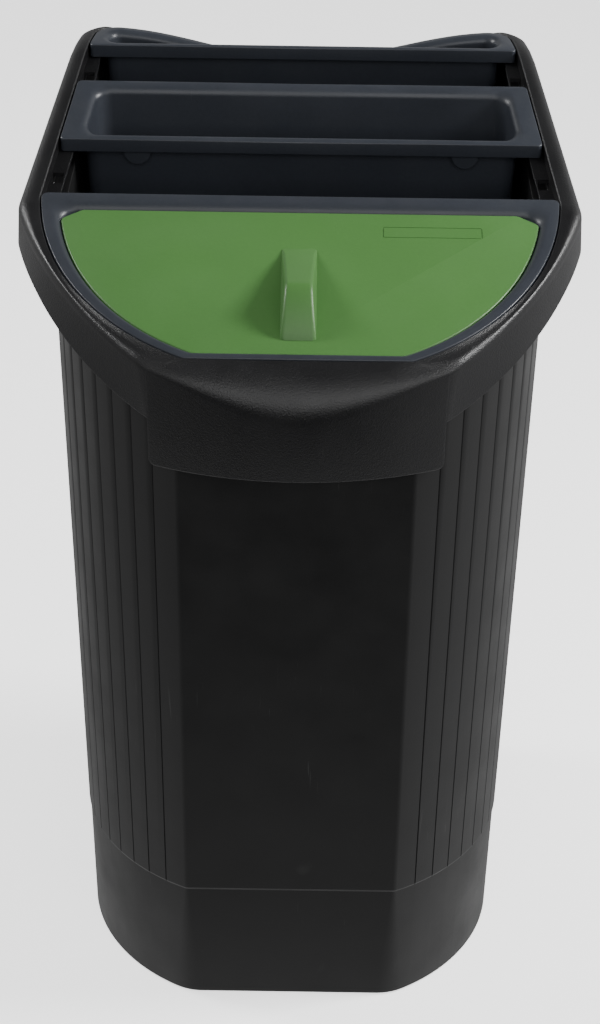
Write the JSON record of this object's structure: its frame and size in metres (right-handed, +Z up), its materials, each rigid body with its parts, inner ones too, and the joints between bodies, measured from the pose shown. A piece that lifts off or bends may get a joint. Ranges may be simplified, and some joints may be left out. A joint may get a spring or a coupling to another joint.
{
  "type": "litter bin",
  "caption": "Tall litter bin for sorted waste, with a tapered grooved body, a sloping top frame, lift-out inserts and a flat lid with a fin grip.",
  "frame": {"origin": "middle of the overall footprint, on the floor", "axes": "+Z up; the apron and the lidded insert face -Y; +X is to the right seen from the front"},
  "size_m": [0.3944, 0.403, 0.6463],
  "materials": {
    "body": "smooth satin",
    "frame": "pebble-grained",
    "front_insert": "fine satin",
    "middle_insert": "fine satin",
    "rear_insert": "fine satin",
    "lid": "fine satin"
  },
  "bodies": {
    "bin": {"body_shell": "body", "top_frame": "frame"},
    "front_insert": {"front_insert": "front_insert"},
    "lid": {"front_lid": "lid"},
    "middle_insert": {"middle_insert": "middle_insert"},
    "rear_insert": {"rear_insert": "rear_insert"}
  },
  "joints": [
    {"name": "front_insert_lift", "type": "slide", "parent": "bin", "child": "front_insert", "axis": [0, 0, 1], "range_m": [0, 0.3]},
    {"name": "lid_lift", "type": "slide", "parent": "front_insert", "child": "lid", "axis": [0, 0, 1], "range_m": [0, 0.12]},
    {"name": "middle_insert_lift", "type": "slide", "parent": "bin", "child": "middle_insert", "axis": [0, 0, 1], "range_m": [0, 0.36]},
    {"name": "rear_insert_lift", "type": "slide", "parent": "bin", "child": "rear_insert", "axis": [0, 0, 1], "range_m": [0, 0.33]}
  ]
}
